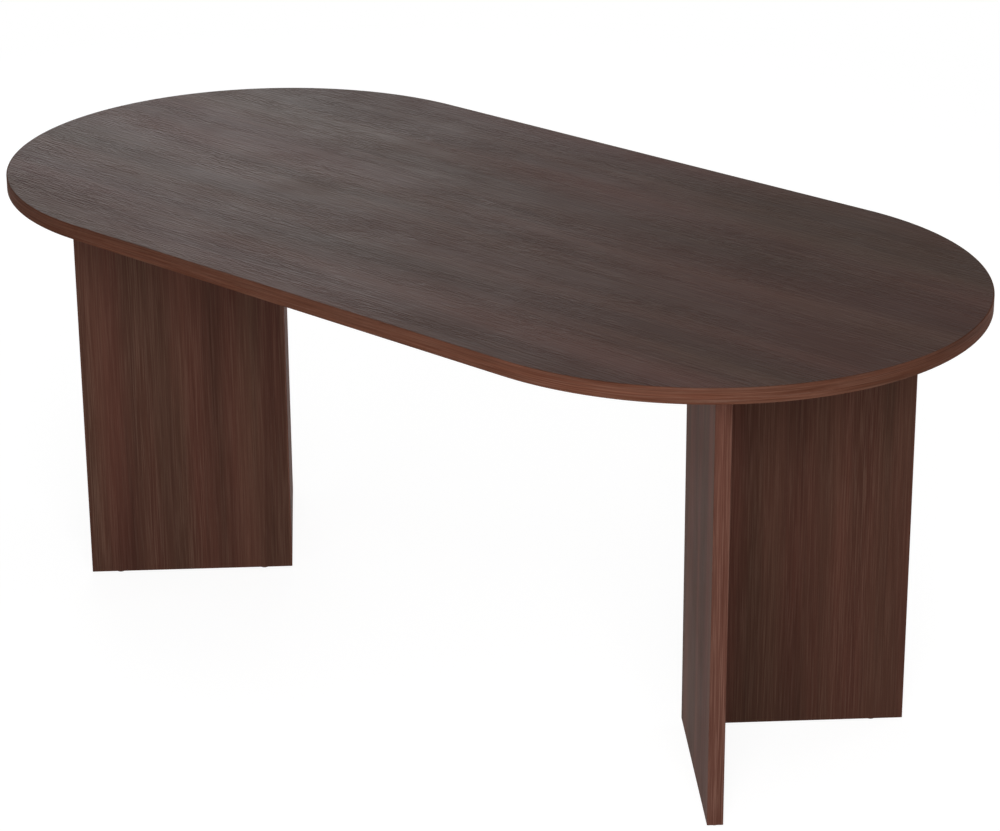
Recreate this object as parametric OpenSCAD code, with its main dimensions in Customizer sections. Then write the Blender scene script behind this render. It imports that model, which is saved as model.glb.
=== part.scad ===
// Dining table with a racetrack top on two V shaped legs, each made of two upright panels.
// Every board is a particle core with laminate on its faces and a band on the edges that show.
// Millimetres. The origin is on the floor under the middle of the top. X runs along the table.

/* [Top] */
// Length of the table over its round ends
table_length = 1830; // [1400:10:2400]
// Width of the table, and the diameter of its round ends
table_width = 900; // [760:10:1200]
// Height of the table from the floor
table_height = 760; // [600:5:900]
// Thickness of the top
top_thickness = 25; // [22:1:36]

/* [Legs] */
// Thickness of the leg panels
panel_thickness = 25; // [22:1:32]
// Length of each arm of the V, measured along its outer face from the corner
arm_length = 357; // [300:1:420]
// Distance from the end of the top to the outer corner of the V
corner_setback = 468; // [420:2:600]

/* [Laminate and bands] */
// Thickness of the laminate on the faces of the boards
laminate = 0.8; // [0.4:0.1:1.5]
// Thickness of the band round the top
top_band = 2; // [1:0.5:3]
// Gap where the two ends of the band round the top meet
band_seam = 0.2; // [0.1:0.1:0.5]
// Thickness of the bands on the upright ends of the panels
panel_band = 2; // [1:0.5:3]
// Thickness of the band under the panels
foot_band = 1; // [0.5:0.5:2]
// Radius of the rounded edges of the bands, which is less where a band is thinner
band_rounding = 1.5; // [0.5:0.1:2.5]

/* [Corner joint] */
// Number of cam locks in the corner of a leg
cam_count = 3; // [2:1:5]
// Distance from the lower and upper edges of a panel to the first cam lock
cam_margin = 96; // [60:1:140]
// Distance from the butted end of the back panel to the centre of a cam
cam_reach = 34; // [24:1:45]
// Diameter of the bore that holds a cam
cam_bore = 15; // [14:1:20]
// Depth of the cam below the middle of the panel
cam_below_middle = 4.5; // [4.2:0.1:6]
// Depth of the cam's face below the face of the panel
cam_recess = 1.5; // [1:0.1:3]
// Diameter of the cam bolt's shank
cam_bolt = 7; // [6:0.5:7.5]
// Diameter of the cam bolt's thread
cam_thread = 6; // [5:0.5:7]
// Length of the cam bolt's thread, which is held in the front panel
cam_thread_length = 11; // [8:1:14]
// Diameter of the neck that the cam grips
cam_neck = 4.4; // [3:0.2:5]
// Diameter of the round head at the end of the cam bolt
cam_head = 6.8; // [6:0.1:7.2]
// Length of that head
cam_head_length = 3; // [2:0.5:4]
// Diameter of the cap over a cam
cap_diameter = 17.2; // [17:0.1:24]
// Thickness of the cap's rim
cap_rim = 0.8; // [0.5:0.1:1.5]

/* [Dowels] */
// Diameter of the dowels
dowel_diameter = 8; // [6:1:10]
// Length of the dowels
dowel_length = 35; // [30:1:45]
// Depth that a dowel goes into the top, or into the face of the front panel
dowel_depth = 12; // [8:1:15]
// Chamfer on both ends of a dowel
dowel_chamfer = 1; // [0.5:0.5:2]
// Distance from the inner corner, and from the end of an arm, to the dowel in its upper edge
dowel_inset = 30; // [20:1:60]

/* [Brackets] */
// Length of both legs of a bracket
bracket_leg = 40; // [30:1:60]
// Width of a bracket
bracket_width = 60; // [40:1:80]
// Thickness of the bracket's steel
bracket_thickness = 2.5; // [1.5:0.5:4]
// Inner radius of the bend
bracket_bend = 2.5; // [1:0.5:4]
// Radius of the bracket's free corners
bracket_corner = 5; // [2:1:8]
// Distance from the side of a bracket to the middle of a screw hole
bracket_hole_margin = 12; // [9:1:18]
// Diameter of a bracket's screw holes
bracket_hole = 5.5; // [5:0.5:7]
// Gap between the two brackets that meet in the inner corner
bracket_gap = 10; // [4:1:20]
// Distance from the end of an arm to the nearest bracket
bracket_inset = 50; // [40:1:80]

/* [Screws] */
// Diameter of a bracket screw's shank
screw_shank = 4.4; // [3:0.2:4.8]
// Length of a bracket screw below its head
screw_length = 20; // [14:1:20]
// Length of the screw's pointed tip
screw_tip = 4; // [2:1:6]
// Diameter of the screw's head
screw_head = 9.4; // [8:0.2:12]
// Height of the screw's head
screw_head_height = 2.6; // [2:0.2:4]

/* [Glides] */
// Diameter of the glides under the panels
glide_diameter = 15; // [12:1:20]
// Height of the glides
glide_height = 4; // [3:1:8]
// Radius of the glide's lower rim
glide_rounding = 1; // [0.5:0.1:1.5]
// Distance from the end of an arm, or from the corner, to a glide
glide_inset = 50; // [30:1:80]
// The same distance for the glide at the end of the right front arm, set nearer its end
right_front_glide_inset = 13; // [12:1:80]
// Diameter of the nail in a glide
nail_diameter = 2.2; // [1.6:0.2:3]
// Length of the nail below its head
nail_length = 16; // [10:1:22]
// Diameter of the nail's head, which the glide is moulded round
nail_head = 6; // [4:0.5:8]
// Thickness of the nail's head
nail_head_height = 1; // [0.5:0.1:1.5]
// Thickness of the glide below the nail's head
glide_sole = 1.2; // [0.8:0.1:1.4]

/* [Clearances] */
// Gap round a dowel in its bore
dowel_fit = 0.1; // [0.05:0.05:0.3]
// Gap past the end of a dowel, thread, screw or nail in its bore
end_gap = 0.3; // [0.1:0.1:1]
// Gap round a thread or nail in its bore
thread_fit = 0.05; // [0.02:0.01:0.1]
// Gap round a cam, and round the shank of a cam bolt
cam_fit = 0.1; // [0.05:0.05:0.3]
// Gap round the head and neck of a cam bolt inside the cam
cam_play = 0.3; // [0.1:0.1:0.4]

/* [Hidden] */
// Every circle has more than 12 sides, so each stays a true circle
$fn = 64;
// How far a cut runs past the surface that it opens
overshoot = 1;
// The front arm of a leg turns this far from the table's length, and the back arm is square to it
leg_turn = 45;

top_round = min(band_rounding, 0.9 * top_band, top_thickness / 3);
panel_round = min(band_rounding, 0.9 * panel_band, panel_thickness / 3);
straight_length = table_length - table_width;
corner_x = table_length / 2 - corner_setback;
under_z = table_height - top_thickness;
foot_z = glide_height;
panel_height = under_z - foot_z;
panel_middle = panel_thickness / 2;
board_end = arm_length - panel_band;

cam_depth = panel_middle + cam_below_middle;
cam_x = panel_thickness + cam_reach;
cam_pitch = (panel_height - 2 * cam_margin) / (cam_count - 1);
cam_heights = [for (i = [0:cam_count - 1]) foot_z + cam_margin + i * cam_pitch];
corner_dowel_heights = [for (i = [0:cam_count - 2]) foot_z + cam_margin + (i + 0.5) * cam_pitch];
cam_head_room = cam_head / 2 + cam_play;
cam_shank_end = cam_reach - cam_bore / 2;
// Width, length and depth of the cross that turns a cam
cam_driver_slot = [1.4, 8, 2.5];
// Wall of the hollow plug under a cap
cap_plug_wall = 1;

top_dowel_places = [panel_thickness + dowel_inset, arm_length - dowel_inset];
dowel_depth_far = dowel_length - dowel_depth;

bracket_places = [
    panel_thickness + bracket_leg + bracket_gap + bracket_width / 2,
    arm_length - bracket_inset - bracket_width / 2
];
bracket_hole_spread = bracket_width / 2 - bracket_hole_margin;
bracket_hole_reach = (bracket_leg + bracket_thickness + bracket_bend) / 2;
bracket_outer_bend = bracket_bend + bracket_thickness;
// Width, length and depth of the cross in a screw's head
screw_slot = [1, 5.4, 1.5];
// Share of the head's height that is domed
screw_dome = 0.35;

arms = ["front", "back"];
sides = ["right", "left"];
// One row for each glide of a leg, its arm and its place along the arm: first the front arm's outer
// end, then its corner, then the back arm's outer end
function glide_places(side) = [
    ["front", arm_length - (side == "right" ? right_front_glide_inset : glide_inset)],
    ["front", glide_inset],
    ["back", arm_length - glide_inset]
];
nail_top = glide_sole + nail_head_height + nail_length;
function board_start(arm) = arm == "front" ? panel_band : panel_thickness;

top_pieces = [
    "tabletop_core", "tabletop_upper_laminate", "tabletop_under_laminate", "tabletop_edge_band"
];
leg_pieces = [
    "front_panel_core", "front_panel_outer_laminate", "front_panel_inner_laminate",
    "front_panel_end_band", "front_panel_corner_band", "front_panel_foot_band",
    "back_panel_core", "back_panel_outer_laminate", "back_panel_inner_laminate",
    "back_panel_end_band", "back_panel_foot_band",
    "corner_cams", "corner_cam_bolts", "corner_cam_caps", "corner_dowels", "top_dowels",
    "front_inner_bracket", "front_outer_bracket", "back_inner_bracket", "back_outer_bracket",
    "bracket_screws", "front_outer_glide", "front_corner_glide", "back_outer_glide", "glide_nails"
];

// Colours of the finishes
walnut_top = [0.31, 0.26, 0.24];
walnut_panel = [0.28, 0.19, 0.15];
walnut_band = [0.38, 0.24, 0.19];
particle_board = [0.72, 0.58, 0.42];
backing_sheet = [0.26, 0.19, 0.16];
beech = [0.82, 0.66, 0.46];
black_steel = [0.12, 0.12, 0.13];
zinc = [0.66, 0.67, 0.68];
brown_plastic = [0.16, 0.11, 0.09];

// Frames in which the pieces are drawn

// The leg's frame has its origin at the V's outer corner, X along the front arm and Y along the back arm
module on_leg(side) {
    mirror(side == "left" ? [1, 0, 0] : [0, 0, 0])
        translate([corner_x, 0, 0])
            rotate([0, 0, -leg_turn])
                children();
}

// An arm's frame has X along the arm from the corner and Y inwards from its outer face
module on_arm(arm) {
    if (arm == "back")
        mirror([1, -1, 0]) children();
    else
        children();
}

// Turns a piece drawn up the Z axis to point along X
module along_x() {
    rotate([0, 90, 0]) children();
}

// Turns a piece drawn up the Z axis to point inwards from the outer face
module inwards() {
    rotate([-90, 0, 0]) children();
}

// Shapes used by more than one piece

// Section of a band: its thickness outwards along X, with both outer corners rounded
module band_section(thickness, width, rounding) {
    intersection() {
        square([thickness, width]);
        union() {
            square([thickness - rounding, width]);
            translate([0, rounding]) square([thickness, width - 2 * rounding]);
            translate([thickness - rounding, rounding]) circle(rounding);
            translate([thickness - rounding, width - rounding]) circle(rounding);
        }
    }
}

module racetrack(inset, low_z, high_z) {
    radius = table_width / 2 - inset;
    translate([0, 0, low_z]) linear_extrude(high_z - low_z) {
        square([straight_length, 2 * radius], center = true);
        for (end = [-1, 1]) translate([end * straight_length / 2, 0]) circle(radius);
    }
}

module panel_layer(arm, low_y, high_y) {
    low_z = foot_z + foot_band;
    translate([board_start(arm), low_y, low_z])
        cube([board_end - board_start(arm), high_y - low_y, under_z - low_z]);
}

// Cylinder with a chamfer on both ends
module chamfered_rod(diameter, length, chamfer) {
    radius = diameter / 2;
    cylinder(r1 = radius - chamfer, r2 = radius, h = chamfer);
    translate([0, 0, chamfer]) cylinder(r = radius, h = length - 2 * chamfer);
    translate([0, 0, length - chamfer]) cylinder(r1 = radius, r2 = radius - chamfer, h = chamfer);
}

// A cross cut from a face at Z = 0 downwards, for a screwdriver
module cross_slot(slot) {
    for (turn = [0, 90])
        rotate([0, 0, turn])
            translate([-slot[0] / 2, -slot[1] / 2, -slot[2]])
                cube([slot[0], slot[1], slot[2] + overshoot]);
}

// Bores, cut from every board that they pass through

module cam_bores() {
    on_arm("back") for (height = cam_heights) {
        translate([cam_x, -overshoot, height])
            inwards() cylinder(d = cam_bore, h = cam_depth + overshoot);
        translate([panel_thickness, panel_middle, height])
            along_x() cylinder(d = cam_bolt + 2 * cam_fit, h = cam_reach);
        translate([panel_thickness - cam_thread_length - end_gap, panel_middle, height])
            along_x() cylinder(d = cam_thread + 2 * thread_fit, h = cam_thread_length + end_gap);
    }
}

module corner_dowel_bores() {
    on_arm("back") for (height = corner_dowel_heights)
        translate([panel_thickness - dowel_depth - end_gap, panel_middle, height])
            along_x() cylinder(d = dowel_diameter + 2 * dowel_fit, h = dowel_length + 2 * end_gap);
}

module top_dowel_bores() {
    for (arm = arms) on_arm(arm) for (place = top_dowel_places)
        translate([place, panel_middle, under_z - dowel_depth_far - end_gap])
            cylinder(d = dowel_diameter + 2 * dowel_fit, h = dowel_length + 2 * end_gap);
}

module bracket_screw_bore() {
    translate([0, 0, -screw_length - end_gap])
        cylinder(d = screw_shank + 2 * thread_fit, h = screw_length + end_gap + overshoot);
}

module nail_bores(side) {
    for (place = glide_places(side)) on_arm(place[0])
        translate([place[1], panel_middle, foot_z - overshoot])
            cylinder(d = nail_diameter + 2 * thread_fit, h = nail_top - foot_z + end_gap + overshoot);
}

module leg_bores(side) {
    cam_bores();
    corner_dowel_bores();
    top_dowel_bores();
    for (arm = arms) at_panel_screws(arm) bracket_screw_bore();
    nail_bores(side);
}

module top_bores() {
    for (side = sides) on_leg(side) {
        top_dowel_bores();
        for (arm = arms) at_top_screws(arm) bracket_screw_bore();
    }
}

// Places of the bracket screws. A screw is drawn with its head up, its underside at Z = 0

module at_panel_screws(arm) {
    on_arm(arm) for (place = bracket_places) for (spread = [-1, 1])
        translate([
            place + spread * bracket_hole_spread,
            panel_thickness + bracket_thickness,
            under_z - bracket_hole_reach
        ]) inwards() children();
}

module at_top_screws(arm) {
    on_arm(arm) for (place = bracket_places) for (spread = [-1, 1])
        translate([
            place + spread * bracket_hole_spread,
            panel_thickness + bracket_hole_reach,
            under_z - bracket_thickness
        ]) mirror([0, 0, 1]) children();
}

// The top

module tabletop_core() {
    color(particle_board) difference() {
        racetrack(top_band, under_z + laminate, table_height - laminate);
        top_bores();
    }
}

module tabletop_upper_laminate() {
    color(walnut_top) racetrack(top_band, table_height - laminate, table_height);
}

module tabletop_under_laminate() {
    color(backing_sheet) difference() {
        racetrack(top_band, under_z, under_z + laminate);
        top_bores();
    }
}

// One strip that runs round the whole top, with its seam in the middle of the back edge
module tabletop_edge_band() {
    inner_y = table_width / 2 - top_band;
    color(walnut_band) translate([0, 0, under_z]) difference() {
        union() {
            for (turn = [0, 180]) rotate([0, 0, turn]) {
                translate([straight_length / 2, 0, 0]) rotate([0, 0, -90])
                    rotate_extrude(angle = 180)
                        translate([inner_y, 0]) band_section(top_band, top_thickness, top_round);
                translate([-straight_length / 2, inner_y, 0]) rotate([90, 0, 90])
                    linear_extrude(straight_length)
                        band_section(top_band, top_thickness, top_round);
            }
        }
        translate([-band_seam / 2, inner_y - overshoot, -overshoot])
            cube([band_seam, top_band + 2 * overshoot, top_thickness + 2 * overshoot]);
    }
}

// The leg panels, drawn in the leg's frame

module panel_core(side, arm) {
    color(particle_board) difference() {
        on_arm(arm) panel_layer(arm, laminate, panel_thickness - laminate);
        leg_bores(side);
    }
}

module outer_laminate(side, arm) {
    color(walnut_panel) difference() {
        on_arm(arm) panel_layer(arm, 0, laminate);
        leg_bores(side);
    }
}

module inner_laminate(side, arm) {
    color(walnut_panel) difference() {
        on_arm(arm) panel_layer(arm, panel_thickness - laminate, panel_thickness);
        leg_bores(side);
    }
}

module panel_end_band(arm) {
    color(walnut_band) on_arm(arm)
        translate([board_end, 0, foot_z])
            linear_extrude(panel_height)
                band_section(panel_band, panel_thickness, panel_round);
}

// The front arm's other end shows beside the back arm, so it has a band too
module panel_corner_band() {
    color(walnut_band) translate([panel_band, 0, foot_z])
        mirror([1, 0, 0])
            linear_extrude(panel_height)
                band_section(panel_band, panel_thickness, panel_round);
}

module panel_foot_band(side, arm) {
    color(walnut_band) difference() {
        on_arm(arm) translate([board_start(arm), 0, foot_z])
            cube([board_end - board_start(arm), panel_thickness, foot_band]);
        nail_bores(side);
    }
}

// The corner joint: cam locks and dowels between the two panels

// A cam's face is at Z = 0 and its bolt comes in along -X, at the middle of the panel
module cam() {
    height = cam_depth - cam_recess;
    bolt_z = panel_middle - cam_recess;
    neck_room = cam_neck / 2 + cam_play;
    difference() {
        cylinder(d = cam_bore - 2 * cam_fit, h = height);
        mirror([0, 0, 1]) cross_slot(cam_driver_slot);
        translate([-cam_head_length / 2 - cam_play, 0, bolt_z])
            along_x() cylinder(r = cam_head_room, h = cam_head_length + 2 * cam_play);
        translate([-cam_bore, 0, bolt_z]) along_x() cylinder(r = neck_room, h = cam_bore);
        translate([-cam_bore, -neck_room, bolt_z])
            cube([cam_bore, 2 * neck_room, height - bolt_z + overshoot]);
    }
}

module corner_cams() {
    color(zinc) on_arm("back") for (height = cam_heights)
        translate([cam_x, cam_recess, height]) inwards() cam();
}

// Drawn up the Z axis from the face that it is screwed into: the thread below, the rest above
module cam_bolt_shape() {
    head_start = cam_reach - cam_head_length / 2;
    translate([0, 0, -cam_thread_length]) cylinder(d = cam_thread, h = cam_thread_length);
    cylinder(d = cam_bolt, h = cam_shank_end);
    translate([0, 0, cam_shank_end]) cylinder(d = cam_neck, h = head_start - cam_shank_end);
    translate([0, 0, head_start]) chamfered_rod(cam_head, cam_head_length, cam_head_length / 4);
}

module corner_cam_bolts() {
    color(zinc) on_arm("back") for (height = cam_heights)
        translate([panel_thickness, panel_middle, height]) along_x() cam_bolt_shape();
}

// The cap's rim lies on the face of the panel and its hollow plug sits in the mouth of the bore
module cap() {
    plug_radius = cam_bore / 2 - cam_fit;
    plug_depth = cam_recess - cam_fit;
    edge = cap_rim / 3;
    mirror([0, 0, 1]) {
        cylinder(d = cap_diameter, h = cap_rim - edge);
        translate([0, 0, cap_rim - edge])
            cylinder(d1 = cap_diameter, d2 = cap_diameter - 2 * edge, h = edge);
    }
    difference() {
        cylinder(r = plug_radius, h = plug_depth);
        cylinder(r = plug_radius - cap_plug_wall, h = plug_depth + overshoot);
    }
}

module corner_cam_caps() {
    color(brown_plastic) on_arm("back") for (height = cam_heights)
        translate([cam_x, 0, height]) inwards() cap();
}

module dowel() {
    chamfered_rod(dowel_diameter, dowel_length, dowel_chamfer);
}

module corner_dowels() {
    color(beech) on_arm("back") for (height = corner_dowel_heights)
        translate([panel_thickness - dowel_depth, panel_middle, height]) along_x() dowel();
}

// The top joint: dowels in the upper edges, and steel brackets in the inner angle

module top_dowels() {
    color(beech) for (arm = arms) on_arm(arm) for (place = top_dowel_places)
        translate([place, panel_middle, under_z - dowel_depth_far]) dowel();
}

// One leg of a bracket: a plate in the XY plane from the bend at Y = 0 to its free edge
module bracket_plate() {
    flat = bracket_leg - bracket_outer_bend;
    half = bracket_width / 2;
    difference() {
        linear_extrude(bracket_thickness) {
            translate([-half, 0]) square([bracket_width, flat - bracket_corner]);
            translate([bracket_corner - half, 0]) square([bracket_width - 2 * bracket_corner, flat]);
            for (end = [-1, 1])
                translate([end * (half - bracket_corner), flat - bracket_corner])
                    circle(bracket_corner);
        }
        for (end = [-1, 1])
            translate([end * bracket_hole_spread, bracket_hole_reach - bracket_outer_bend, -overshoot])
                cylinder(d = bracket_hole, h = bracket_thickness + 2 * overshoot);
    }
}

// Drawn with its outer corner on the X axis, one plate along +Y and the other along +Z
module bracket_shape() {
    translate([0, bracket_outer_bend, 0]) bracket_plate();
    translate([0, 0, bracket_outer_bend]) mirror([0, 1, -1]) bracket_plate();
    translate([-bracket_width / 2, 0, 0]) rotate([90, 0, 90]) linear_extrude(bracket_width)
        intersection() {
            square(bracket_outer_bend);
            translate([bracket_outer_bend, bracket_outer_bend]) difference() {
                circle(bracket_outer_bend);
                circle(bracket_bend);
            }
        }
}

module bracket(arm, place) {
    color(black_steel) on_arm(arm)
        translate([bracket_places[place], panel_thickness, under_z])
            mirror([0, 0, 1]) bracket_shape();
}

module screw() {
    rim = screw_head_height * (1 - screw_dome);
    dome = screw_head_height * screw_dome;
    difference() {
        union() {
            cylinder(d = screw_head, h = rim);
            translate([0, 0, rim]) cylinder(d1 = screw_head, d2 = screw_head - 2 * dome, h = dome);
            translate([0, 0, screw_tip - screw_length])
                cylinder(d = screw_shank, h = screw_length - screw_tip);
            translate([0, 0, -screw_length])
                cylinder(r1 = 0, d2 = screw_shank, h = screw_tip);
        }
        translate([0, 0, screw_head_height]) cross_slot(screw_slot);
    }
}

module bracket_screws() {
    color(zinc) for (arm = arms) {
        at_panel_screws(arm) screw();
        at_top_screws(arm) screw();
    }
}

// The glides, each moulded round the head of its nail

module nail_shape() {
    translate([0, 0, glide_sole]) {
        cylinder(d = nail_head, h = nail_head_height);
        cylinder(d = nail_diameter, h = nail_head_height + nail_length);
    }
}

module glide_shape() {
    radius = glide_diameter / 2;
    difference() {
        rotate_extrude() union() {
            square([radius - glide_rounding, glide_height]);
            translate([0, glide_rounding]) square([radius, glide_height - glide_rounding]);
            translate([radius - glide_rounding, glide_rounding]) circle(glide_rounding);
        }
        nail_shape();
    }
}

module glide(side, index) {
    place = glide_places(side)[index];
    color(brown_plastic) on_arm(place[0]) translate([place[1], panel_middle, 0]) glide_shape();
}

module glide_nails(side) {
    color(zinc) for (place = glide_places(side)) on_arm(place[0])
        translate([place[1], panel_middle, 0]) nail_shape();
}

tabletop_core();
tabletop_upper_laminate();
tabletop_under_laminate();
tabletop_edge_band();

for (side = sides) on_leg(side) {
    panel_core(side, "front");
    outer_laminate(side, "front");
    inner_laminate(side, "front");
    panel_end_band("front");
    panel_corner_band();
    panel_foot_band(side, "front");
    panel_core(side, "back");
    outer_laminate(side, "back");
    inner_laminate(side, "back");
    panel_end_band("back");
    panel_foot_band(side, "back");
    corner_cams();
    corner_cam_bolts();
    corner_cam_caps();
    corner_dowels();
    top_dowels();
    bracket("front", 0);
    bracket("front", 1);
    bracket("back", 0);
    bracket("back", 1);
    bracket_screws();
    glide(side, 0);
    glide(side, 1);
    glide(side, 2);
    glide_nails(side);
}
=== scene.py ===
# A dining table: a racetrack top of walnut printed board on two V shaped legs of upright panels.
# Metres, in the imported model's frame: X along the table, Y towards its back, Z up from the floor.
import math

import bmesh
import bpy
from mathutils import Matrix, Vector


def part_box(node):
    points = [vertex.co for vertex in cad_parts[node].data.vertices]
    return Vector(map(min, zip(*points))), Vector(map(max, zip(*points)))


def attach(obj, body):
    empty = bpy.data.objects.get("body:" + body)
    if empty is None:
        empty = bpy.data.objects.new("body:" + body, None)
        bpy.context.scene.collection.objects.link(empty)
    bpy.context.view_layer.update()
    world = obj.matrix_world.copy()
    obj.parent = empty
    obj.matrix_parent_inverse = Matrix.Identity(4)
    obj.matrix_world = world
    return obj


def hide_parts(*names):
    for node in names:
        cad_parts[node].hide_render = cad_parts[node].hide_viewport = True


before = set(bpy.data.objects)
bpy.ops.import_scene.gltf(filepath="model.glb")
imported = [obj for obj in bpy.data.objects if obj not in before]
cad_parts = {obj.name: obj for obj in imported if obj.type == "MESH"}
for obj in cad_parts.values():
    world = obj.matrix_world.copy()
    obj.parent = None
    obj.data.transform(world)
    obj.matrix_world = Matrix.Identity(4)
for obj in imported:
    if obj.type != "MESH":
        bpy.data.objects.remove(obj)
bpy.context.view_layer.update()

# The legs' turn, and sizes of small details that the frame's boxes don't give

LEG_TURN = math.radians(45)

BAND_ROUNDING = 0.0015
BAND_SEAM = 0.0002
ROUNDING_STEPS = 6
ARC_STEPS = 120
LAMINATE_BEVEL = 0.00012

BRACKET_HOLE = 0.0055
BRACKET_HOLE_MARGIN = 0.012
BRACKET_BEND = 0.0025
BRACKET_CORNER = 0.005
BRACKET_STEPS = 8
STEEL_BEVEL = 0.0003
BEVEL_STEPS = 2
BEVEL_ANGLE = math.radians(40)
SHARP_ANGLE = math.radians(35)

SCREW_SHANK = 0.0044
SCREW_HEAD_HEIGHT = 0.0026
SCREW_DOME = 0.55 * SCREW_HEAD_HEIGHT
SCREW_RIM = 0.0003
SCREW_TIP = 0.004
SCREW_PITCH = 0.0018
THREAD_DEPTH = 0.0006
THREAD_FLANK = 2.2
SCREW_STEPS = 24
CROWN_STEPS = 8
RINGS_PER_TURN = 6
RECESS_WIDTH = 0.0010
RECESS_LENGTH = 0.0054
RECESS_DEPTH = 0.0017
RECESS_FOOT = RECESS_LENGTH / 5
RECESS_MOUTH = RECESS_LENGTH * 0.55
RECESS_RISE = RECESS_DEPTH / 4

# Each screw is turned at random by up to this angle
SCREW_TURN = 1.5  # radians
SCREW_SEED = 3

GLIDE_ROUNDING = 0.001
GLIDE_ROUNDING_STEPS = 5
GLIDE_RIM = 0.0003
NAIL_RADIUS = 0.0011
NAIL_HEAD_HEIGHT = 0.001
CAP_DOME = 0.0002
CAP_ROUNDING = 0.0006
CAP_STEPS = 6
TURNED_STEPS = 48

# A drilled hole is cut by a cylinder of this many sides, this many times as long as the sheet is thick
HOLE_STEPS = 32
HOLE_DEPTH = 4

# Points this close together are one point, and heights this close are one height
TOUCHING = 1e-6
NEAR = 1e-5

BODY = "root"
SIDES = ["right", "left"]
ARMS = ["front", "back"]


# Places and sizes read from the frame

def node_points(node):
    """Every corner of a CAD node's mesh."""
    return [vertex.co.copy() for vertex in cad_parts[node].data.vertices]


# Where on the table's middle line the outer faces of the right leg's two panels meet
corner_x = min(point.x - point.y for point in node_points("right_front_panel_corner_band"))


def arm_matrix(side, arm):
    """From an arm's frame to the table's: X along the arm from the V's corner, Y inwards, Z up."""
    matrix = Matrix.Translation((corner_x, 0, 0)) @ Matrix.Rotation(-LEG_TURN, 4, "Z")
    if arm == "back":
        matrix = matrix @ Matrix(((0, 1, 0, 0), (1, 0, 0, 0), (0, 0, 1, 0), (0, 0, 0, 1)))
    if side == "left":
        matrix = Matrix.Diagonal((-1, 1, 1, 1)) @ matrix
    return matrix


def limits(points):
    """Lowest and highest corner of some points."""
    low = Vector([min(point[axis] for point in points) for axis in range(3)])
    high = Vector([max(point[axis] for point in points) for axis in range(3)])
    return low, high


def arm_box(side, arm, node):
    """Lowest and highest corner of a CAD node in the arm's frame."""
    to_arm = arm_matrix(side, arm).inverted()
    return limits([to_arm @ point for point in node_points(node)])


def solids(side, node):
    """Lowest and highest corner of each solid of a CAD node, in the frame of the front arm."""
    mesh = bmesh.new()
    mesh.from_mesh(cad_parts[node].data)
    bmesh.ops.remove_doubles(mesh, verts=mesh.verts, dist=TOUCHING)
    mesh.transform(arm_matrix(side, "front").inverted())
    waiting = set(mesh.verts)
    found = []
    while waiting:
        reached = [waiting.pop()]
        points = []
        while reached:
            vertex = reached.pop()
            points.append(vertex.co.copy())
            for edge in vertex.link_edges:
                other = edge.other_vert(vertex)
                if other in waiting:
                    waiting.remove(other)
                    reached.append(other)
        found.append(limits(points))
    mesh.free()
    return sorted(found, key=lambda box: tuple(round(value, 4) for value in (*box[0], *box[1])))


top_low, top_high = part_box("tabletop_edge_band")
upper_low, upper_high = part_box("tabletop_upper_laminate")
under_low, under_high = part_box("tabletop_under_laminate")
top_half_length = top_high.x
top_half_width = top_high.y
top_thickness = top_high.z - top_low.z
top_band = top_half_width - upper_high.y
top_half_straight = max(point.x for point in node_points("tabletop_edge_band")
                        if point.y > top_high.y - TOUCHING)


# Meshes

def new_object(name, data):
    """A new object in the scene."""
    piece = bpy.data.objects.new(name, data)
    bpy.context.scene.collection.objects.link(piece)
    return piece


def to_mesh(mesh):
    """Turns a bmesh into a mesh with its faces pointing outwards, and frees it."""
    bmesh.ops.recalc_face_normals(mesh, faces=mesh.faces)
    data = bpy.data.meshes.new("shape")
    mesh.to_mesh(data)
    mesh.free()
    return data


def placed(data, matrix):
    """A copy of a mesh moved by a matrix. A mirrored copy has its faces turned to point outwards again."""
    copy = data.copy()
    copy.transform(matrix)
    if matrix.determinant() < 0:
        copy.flip_normals()
    return copy


def evaluated(piece):
    """The mesh that an object's modifiers give. The object is then deleted."""
    graph = bpy.context.evaluated_depsgraph_get()
    data = bpy.data.meshes.new_from_object(piece.evaluated_get(graph))
    bpy.data.objects.remove(piece)
    return data


def grown(tree, data, **inputs):
    """The mesh that a geometry tree grows from a mesh. Each input's name has _ for its spaces."""
    seed = new_object("seed", data)
    modifier = seed.modifiers.new("grow", "NODES")
    modifier.node_group = tree
    for item in tree.interface.items_tree:
        key = item.name.lower().replace(" ", "_")
        if item.item_type == "SOCKET" and item.in_out == "INPUT" and key in inputs:
            modifier[item.identifier] = inputs[key]
    return evaluated(seed)


def shaped(data, cutter, bevel=0):
    """A mesh with holes cut by another mesh, and then its sharp edges bevelled."""
    piece = new_object("block", data)
    knife = new_object("cutter", cutter)
    cut = piece.modifiers.new("cut", "BOOLEAN")
    cut.object = knife
    cut.operation = "DIFFERENCE"
    cut.solver = "EXACT"
    if bevel:
        edges = piece.modifiers.new("edges", "BEVEL")
        edges.width = bevel
        edges.segments = BEVEL_STEPS
        edges.limit_method = "ANGLE"
        edges.angle_limit = BEVEL_ANGLE
    result = evaluated(piece)
    bpy.data.objects.remove(knife)
    return result


def add_piece(name, data, material, node):
    """Puts a finished mesh in the scene, in place of the CAD node that it stands for. It is shaded smooth,
    with a sharp edge wherever two faces meet at more than the sharp angle."""
    data.name = name
    data.shade_smooth()
    data.set_sharp_from_angle(angle=SHARP_ANGLE)
    data.materials.clear()
    data.materials.append(material)
    piece = new_object(name, data)
    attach(piece, BODY)
    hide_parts(node)


def dress(material, *nodes):
    """Gives CAD nodes, whose shapes stay, their finish."""
    for node in nodes:
        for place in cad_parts[node].material_slots:
            place.material = material


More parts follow.
